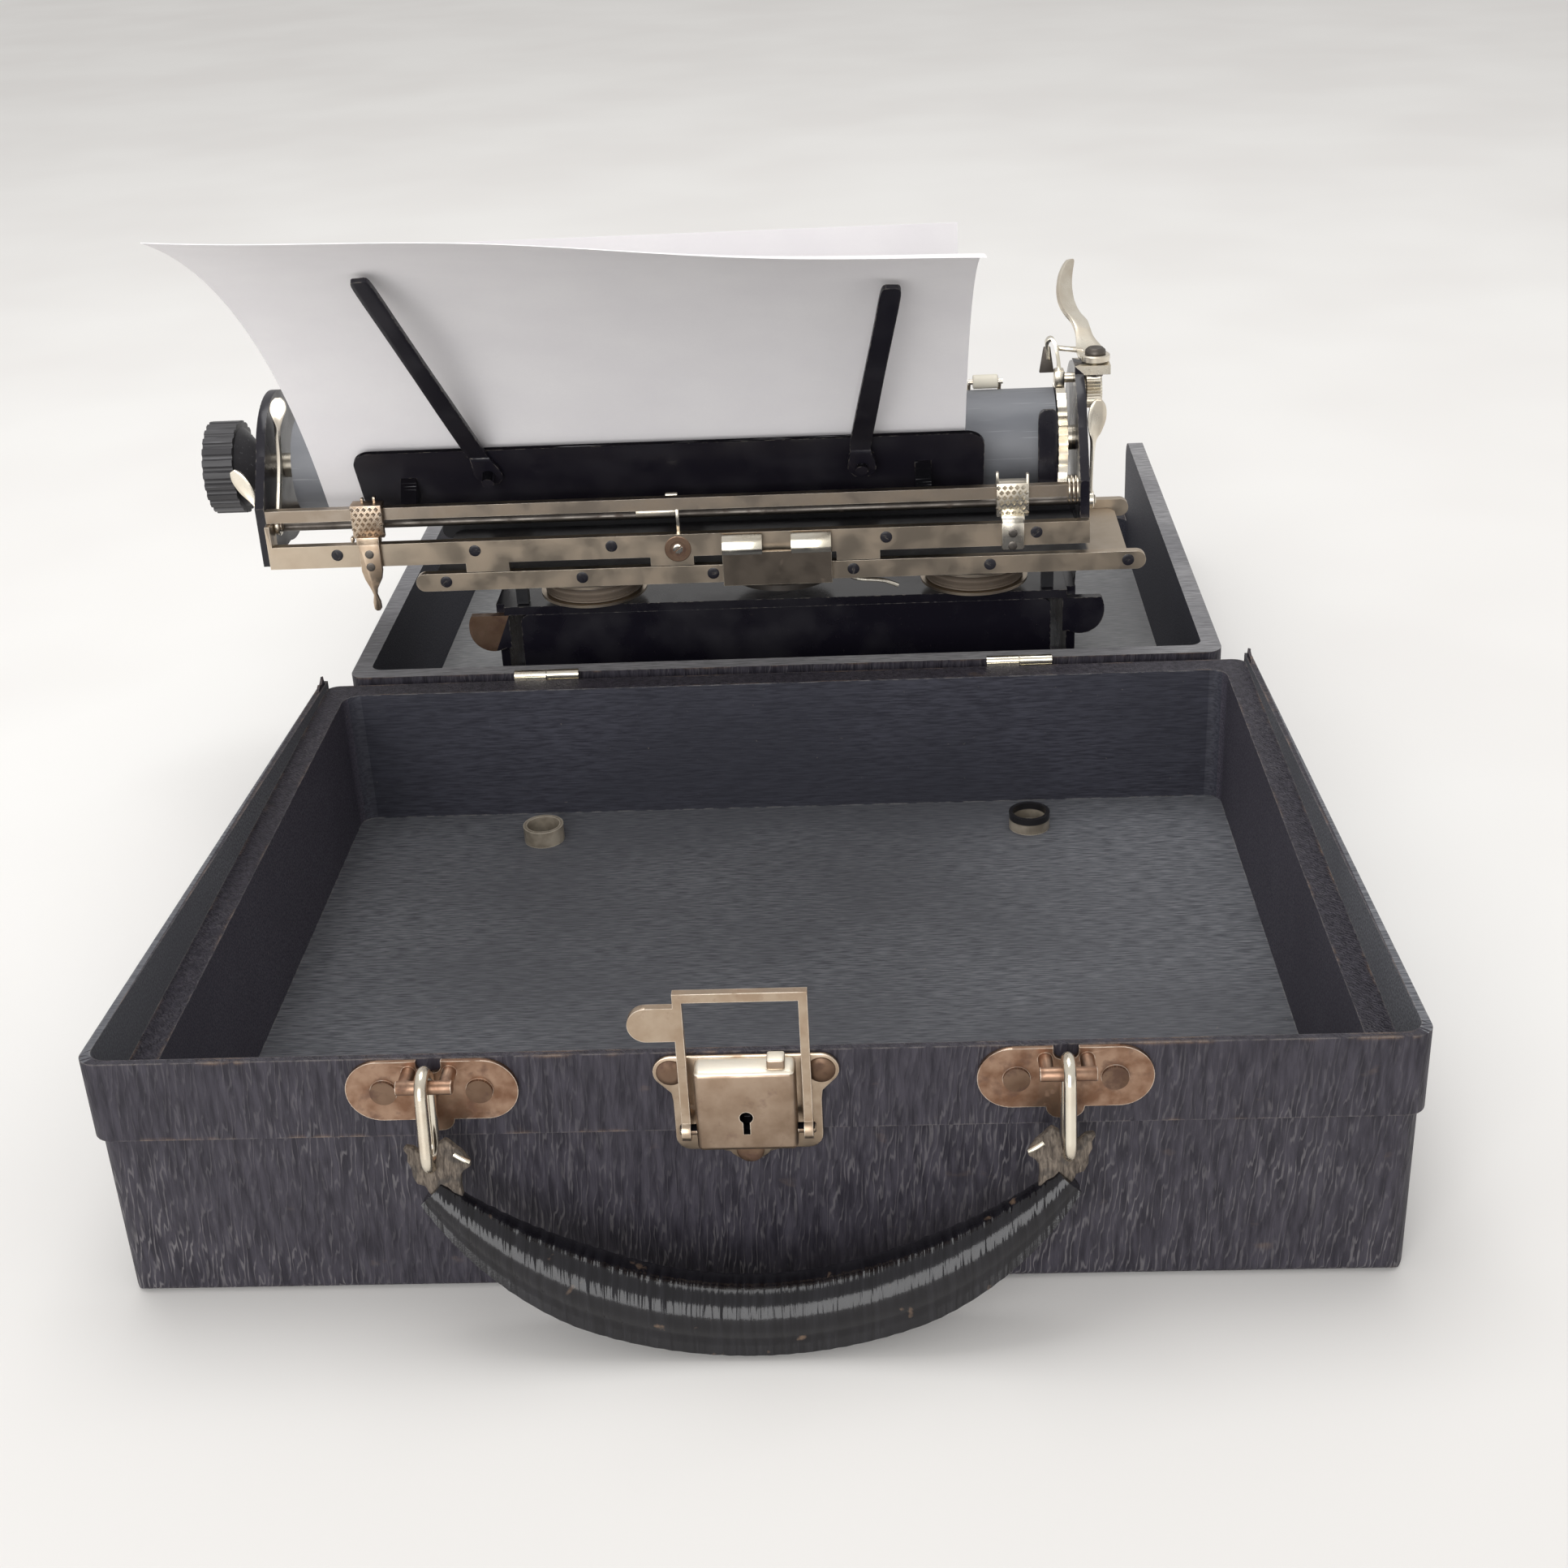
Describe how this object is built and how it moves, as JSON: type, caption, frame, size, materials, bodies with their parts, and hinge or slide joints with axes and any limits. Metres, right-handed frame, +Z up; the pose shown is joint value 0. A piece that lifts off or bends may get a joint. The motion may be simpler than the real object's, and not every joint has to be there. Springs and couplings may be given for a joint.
{
  "type": "folding portable typewriter in its carrying case",
  "caption": "Folding portable typewriter on the base of its opened carrying case, seen from behind with a sheet of paper loaded, lid laid flat with lock and leather handle.",
  "frame": {"origin": "centre of the case base's underside", "axes": "+X to the typist's right, along the platen; +Y away from the typist, towards the opened lid; +Z up"},
  "size_m": [0.34, 0.4963, 0.2198],
  "materials": {
    "leatherette": "worn blue-black leatherette over wood, grained",
    "nickel": "tarnished nickel plate",
    "japan_black": "worn gloss black enamel",
    "dark_steel": "blued steel, dull",
    "foot_rubber": "matt",
    "platen_rubber": "hard aged rubber, satin",
    "handle_leather": "polished black leather, scuffed brown",
    "paper": "matt, slightly lilac white",
    "space_bar_black": "gloss",
    "key_card": "cream faces under a clear cover"
  },
  "bodies": {
    "base": {"case_base": "leatherette", "base_hinge_leaves": "nickel", "machine_frame": "japan_black", "machine_feet": "foot_rubber", "type_basket": "nickel", "lever_comb": "dark_steel"},
    "lid": {"case_lid": "leatherette", "lid_hinge_leaves": "nickel", "lid_cups": "nickel", "lock_plate": "nickel", "handle_plates": "nickel"},
    "hasp": {"lock_hasp": "nickel"},
    "handle": {"handle_rings": "nickel", "handle_grip": "handle_leather"},
    "fold": {"carriage_rails": "nickel", "fold_arms": "japan_black"},
    "drum": {"mainspring_drum": "dark_steel"},
    "carriage": {"carriage_frame": "japan_black", "paper_table": "japan_black", "paper_sheet": "paper"},
    "platen": {"platen": "platen_rubber"},
    "margin_stop_left": {"margin_stop_left": "nickel"},
    "margin_stop_right": {"margin_stop_right": "nickel"},
    "paper_arm_left": {"paper_arm_left": "japan_black"},
    "paper_arm_right": {"paper_arm_right": "japan_black"},
    "return_lever": {"return_lever": "nickel"},
    "paper_release": {"paper_release": "nickel"},
    "carriage_release": {"carriage_release": "nickel"},
    "spool_left": {"ribbon_spool_left": "nickel"},
    "spool_right": {"ribbon_spool_right": "nickel"},
    "space_bar": {"space_bar": "space_bar_black"},
    "shift": {"shift_keys": "key_card"},
    "key_q": {"key_q": "key_card"},
    "key_a": {"key_a": "key_card"},
    "key_z": {"key_z": "key_card"},
    "key_w": {"key_w": "key_card"},
    "key_s": {"key_s": "key_card"},
    "key_x": {"key_x": "key_card"},
    "key_e": {"key_e": "key_card"},
    "key_d": {"key_d": "key_card"},
    "key_c": {"key_c": "key_card"},
    "key_r": {"key_r": "key_card"},
    "key_f": {"key_f": "key_card"},
    "key_v": {"key_v": "key_card"},
    "key_t": {"key_t": "key_card"},
    "key_g": {"key_g": "key_card"},
    "key_b": {"key_b": "key_card"},
    "key_y": {"key_y": "key_card"},
    "key_h": {"key_h": "key_card"},
    "key_n": {"key_n": "key_card"},
    "key_u": {"key_u": "key_card"},
    "key_j": {"key_j": "key_card"},
    "key_m": {"key_m": "key_card"},
    "key_i": {"key_i": "key_card"},
    "key_k": {"key_k": "key_card"},
    "key_comma": {"key_comma": "key_card"},
    "key_o": {"key_o": "key_card"},
    "key_l": {"key_l": "key_card"},
    "key_period": {"key_period": "key_card"},
    "key_p": {"key_p": "key_card"}
  },
  "joints": [
    {"name": "lid_hinge", "type": "hinge", "parent": "base", "child": "lid", "pos_m": [0, 0.1145, 0.051], "axis": [1, 0, 0], "range_deg": [0, 78], "deforming": ["paper_sheet"]},
    {"name": "hasp_swing", "type": "hinge", "parent": "lid", "child": "hasp", "pos_m": [0, 0.3631, 0.0485], "axis": [-1, 0, 0], "range_deg": [0, 95]},
    {"name": "handle_swing", "type": "hinge", "parent": "lid", "child": "handle", "pos_m": [0, 0.3657, 0.063], "axis": [1, 0, 0], "range_deg": [0, 120]},
    {"name": "carriage_fold", "type": "hinge", "parent": "base", "child": "fold", "pos_m": [0, 0.0045, 0.04], "axis": [1, 0, 0], "range_deg": [0, 92]},
    {"name": "carriage_travel", "type": "slide", "parent": "fold", "child": "carriage", "axis": [1, 0, 0], "range_m": [-0.109, 0.052]},
    {"name": "mainspring_turn", "type": "hinge", "parent": "fold", "child": "drum", "pos_m": [0, 0.0695, 0.0715], "axis": [0, 0, 1], "range_deg": [-368, 176]},
    {"name": "platen_turn", "type": "hinge", "parent": "carriage", "child": "platen", "pos_m": [0.034, 0.0695, 0.1108], "axis": [1, 0, 0], "continuous": true},
    {"name": "margin_left_slide", "type": "slide", "parent": "carriage", "child": "margin_stop_left", "axis": [-1, 0, 0], "range_m": [-0.05, 0.012]},
    {"name": "margin_right_slide", "type": "slide", "parent": "carriage", "child": "margin_stop_right", "axis": [-1, 0, 0], "range_m": [-0.008, 0.1]},
    {"name": "paper_arm_left_swing", "type": "hinge", "parent": "carriage", "child": "paper_arm_left", "pos_m": [-0.028, 0.09532, 0.11552], "axis": [0, 0.866, -0.5], "range_deg": [0, 40]},
    {"name": "paper_arm_right_swing", "type": "hinge", "parent": "carriage", "child": "paper_arm_right", "pos_m": [0.092, 0.09532, 0.11552], "axis": [0, -0.866, 0.5], "range_deg": [0, 98]},
    {"name": "return_lever_swing", "type": "hinge", "parent": "carriage", "child": "return_lever", "pos_m": [-0.104, 0.073, 0.138], "axis": [0, 0, 1], "range_deg": [0, 35], "stiffness_Nm_per_rad": 0.05, "springref_deg": -11.46},
    {"name": "paper_release_pull", "type": "hinge", "parent": "carriage", "child": "paper_release", "pos_m": [0.162, 0.09745, 0.0994], "axis": [1, 0, 0], "range_deg": [0, 20], "stiffness_Nm_per_rad": 0.05, "springref_deg": -11.46},
    {"name": "carriage_release_press", "type": "hinge", "parent": "carriage", "child": "carriage_release", "pos_m": [0.034, 0.092, 0.097], "axis": [-1, 0, 0], "range_deg": [0, 14], "stiffness_Nm_per_rad": 0.1, "springref_deg": -11.46},
    {"name": "spool_left_turn", "type": "hinge", "parent": "base", "child": "spool_left", "pos_m": [-0.0645, 0.0735, 0.068], "axis": [0, 0, 1], "continuous": true},
    {"name": "spool_right_turn", "type": "hinge", "parent": "base", "child": "spool_right", "pos_m": [0.0645, 0.0735, 0.068], "axis": [0, 0, 1], "continuous": true},
    {"name": "space_press", "type": "hinge", "parent": "base", "child": "space_bar", "pos_m": [0, 0.048, 0.022], "axis": [1, 0, 0], "range_deg": [0, 4], "stiffness_Nm_per_rad": 0.6, "springref_deg": -17.19},
    {"name": "shift_press", "type": "hinge", "parent": "base", "child": "shift", "pos_m": [0, 0.048, 0.022], "axis": [1, 0, 0], "range_deg": [0, 3], "stiffness_Nm_per_rad": 0.6, "springref_deg": -11.46},
    {"name": "key_q_press", "type": "hinge", "parent": "base", "child": "key_q", "pos_m": [-0.081, 0.048, 0.022], "axis": [1, 0, 0], "range_deg": [0, 5.5], "stiffness_Nm_per_rad": 0.3, "springref_deg": -8.59},
    {"name": "key_a_press", "type": "hinge", "parent": "base", "child": "key_a", "pos_m": [-0.075, 0.048, 0.022], "axis": [1, 0, 0], "range_deg": [0, 5.5], "stiffness_Nm_per_rad": 0.3, "springref_deg": -8.59},
    {"name": "key_z_press", "type": "hinge", "parent": "base", "child": "key_z", "pos_m": [-0.069, 0.048, 0.022], "axis": [1, 0, 0], "range_deg": [0, 5.5], "stiffness_Nm_per_rad": 0.3, "springref_deg": -8.59},
    {"name": "key_w_press", "type": "hinge", "parent": "base", "child": "key_w", "pos_m": [-0.063, 0.048, 0.022], "axis": [1, 0, 0], "range_deg": [0, 5.5], "stiffness_Nm_per_rad": 0.3, "springref_deg": -8.59},
    {"name": "key_s_press", "type": "hinge", "parent": "base", "child": "key_s", "pos_m": [-0.057, 0.048, 0.022], "axis": [1, 0, 0], "range_deg": [0, 5.5], "stiffness_Nm_per_rad": 0.3, "springref_deg": -8.59},
    {"name": "key_x_press", "type": "hinge", "parent": "base", "child": "key_x", "pos_m": [-0.051, 0.048, 0.022], "axis": [1, 0, 0], "range_deg": [0, 5.5], "stiffness_Nm_per_rad": 0.3, "springref_deg": -8.59},
    {"name": "key_e_press", "type": "hinge", "parent": "base", "child": "key_e", "pos_m": [-0.045, 0.048, 0.022], "axis": [1, 0, 0], "range_deg": [0, 5.5], "stiffness_Nm_per_rad": 0.3, "springref_deg": -8.59},
    {"name": "key_d_press", "type": "hinge", "parent": "base", "child": "key_d", "pos_m": [-0.039, 0.048, 0.022], "axis": [1, 0, 0], "range_deg": [0, 5.5], "stiffness_Nm_per_rad": 0.3, "springref_deg": -8.59},
    {"name": "key_c_press", "type": "hinge", "parent": "base", "child": "key_c", "pos_m": [-0.033, 0.048, 0.022], "axis": [1, 0, 0], "range_deg": [0, 5.5], "stiffness_Nm_per_rad": 0.3, "springref_deg": -8.59},
    {"name": "key_r_press", "type": "hinge", "parent": "base", "child": "key_r", "pos_m": [-0.027, 0.048, 0.022], "axis": [1, 0, 0], "range_deg": [0, 5.5], "stiffness_Nm_per_rad": 0.3, "springref_deg": -8.59},
    {"name": "key_f_press", "type": "hinge", "parent": "base", "child": "key_f", "pos_m": [-0.021, 0.048, 0.022], "axis": [1, 0, 0], "range_deg": [0, 5.5], "stiffness_Nm_per_rad": 0.3, "springref_deg": -8.59},
    {"name": "key_v_press", "type": "hinge", "parent": "base", "child": "key_v", "pos_m": [-0.015, 0.048, 0.022], "axis": [1, 0, 0], "range_deg": [0, 5.5], "stiffness_Nm_per_rad": 0.3, "springref_deg": -8.59},
    {"name": "key_t_press", "type": "hinge", "parent": "base", "child": "key_t", "pos_m": [-0.009, 0.048, 0.022], "axis": [1, 0, 0], "range_deg": [0, 5.5], "stiffness_Nm_per_rad": 0.3, "springref_deg": -8.59},
    {"name": "key_g_press", "type": "hinge", "parent": "base", "child": "key_g", "pos_m": [-0.003, 0.048, 0.022], "axis": [1, 0, 0], "range_deg": [0, 5.5], "stiffness_Nm_per_rad": 0.3, "springref_deg": -8.59},
    {"name": "key_b_press", "type": "hinge", "parent": "base", "child": "key_b", "pos_m": [0.003, 0.048, 0.022], "axis": [1, 0, 0], "range_deg": [0, 5.5], "stiffness_Nm_per_rad": 0.3, "springref_deg": -8.59},
    {"name": "key_y_press", "type": "hinge", "parent": "base", "child": "key_y", "pos_m": [0.009, 0.048, 0.022], "axis": [1, 0, 0], "range_deg": [0, 5.5], "stiffness_Nm_per_rad": 0.3, "springref_deg": -8.59},
    {"name": "key_h_press", "type": "hinge", "parent": "base", "child": "key_h", "pos_m": [0.015, 0.048, 0.022], "axis": [1, 0, 0], "range_deg": [0, 5.5], "stiffness_Nm_per_rad": 0.3, "springref_deg": -8.59},
    {"name": "key_n_press", "type": "hinge", "parent": "base", "child": "key_n", "pos_m": [0.021, 0.048, 0.022], "axis": [1, 0, 0], "range_deg": [0, 5.5], "stiffness_Nm_per_rad": 0.3, "springref_deg": -8.59},
    {"name": "key_u_press", "type": "hinge", "parent": "base", "child": "key_u", "pos_m": [0.027, 0.048, 0.022], "axis": [1, 0, 0], "range_deg": [0, 5.5], "stiffness_Nm_per_rad": 0.3, "springref_deg": -8.59},
    {"name": "key_j_press", "type": "hinge", "parent": "base", "child": "key_j", "pos_m": [0.033, 0.048, 0.022], "axis": [1, 0, 0], "range_deg": [0, 5.5], "stiffness_Nm_per_rad": 0.3, "springref_deg": -8.59},
    {"name": "key_m_press", "type": "hinge", "parent": "base", "child": "key_m", "pos_m": [0.039, 0.048, 0.022], "axis": [1, 0, 0], "range_deg": [0, 5.5], "stiffness_Nm_per_rad": 0.3, "springref_deg": -8.59},
    {"name": "key_i_press", "type": "hinge", "parent": "base", "child": "key_i", "pos_m": [0.045, 0.048, 0.022], "axis": [1, 0, 0], "range_deg": [0, 5.5], "stiffness_Nm_per_rad": 0.3, "springref_deg": -8.59},
    {"name": "key_k_press", "type": "hinge", "parent": "base", "child": "key_k", "pos_m": [0.051, 0.048, 0.022], "axis": [1, 0, 0], "range_deg": [0, 5.5], "stiffness_Nm_per_rad": 0.3, "springref_deg": -8.59},
    {"name": "key_comma_press", "type": "hinge", "parent": "base", "child": "key_comma", "pos_m": [0.057, 0.048, 0.022], "axis": [1, 0, 0], "range_deg": [0, 5.5], "stiffness_Nm_per_rad": 0.3, "springref_deg": -8.59},
    {"name": "key_o_press", "type": "hinge", "parent": "base", "child": "key_o", "pos_m": [0.063, 0.048, 0.022], "axis": [1, 0, 0], "range_deg": [0, 5.5], "stiffness_Nm_per_rad": 0.3, "springref_deg": -8.59},
    {"name": "key_l_press", "type": "hinge", "parent": "base", "child": "key_l", "pos_m": [0.069, 0.048, 0.022], "axis": [1, 0, 0], "range_deg": [0, 5.5], "stiffness_Nm_per_rad": 0.3, "springref_deg": -8.59},
    {"name": "key_period_press", "type": "hinge", "parent": "base", "child": "key_period", "pos_m": [0.075, 0.048, 0.022], "axis": [1, 0, 0], "range_deg": [0, 5.5], "stiffness_Nm_per_rad": 0.3, "springref_deg": -8.59},
    {"name": "key_p_press", "type": "hinge", "parent": "base", "child": "key_p", "pos_m": [0.081, 0.048, 0.022], "axis": [1, 0, 0], "range_deg": [0, 5.5], "stiffness_Nm_per_rad": 0.3, "springref_deg": -8.59}
  ],
  "couplings": [
    {"joint": "mainspring_turn", "follows": "carriage_travel", "rad_per_m": 58.82},
    {"joint": "spool_right_turn", "follows": "spool_left_turn", "ratio": 1}
  ]
}
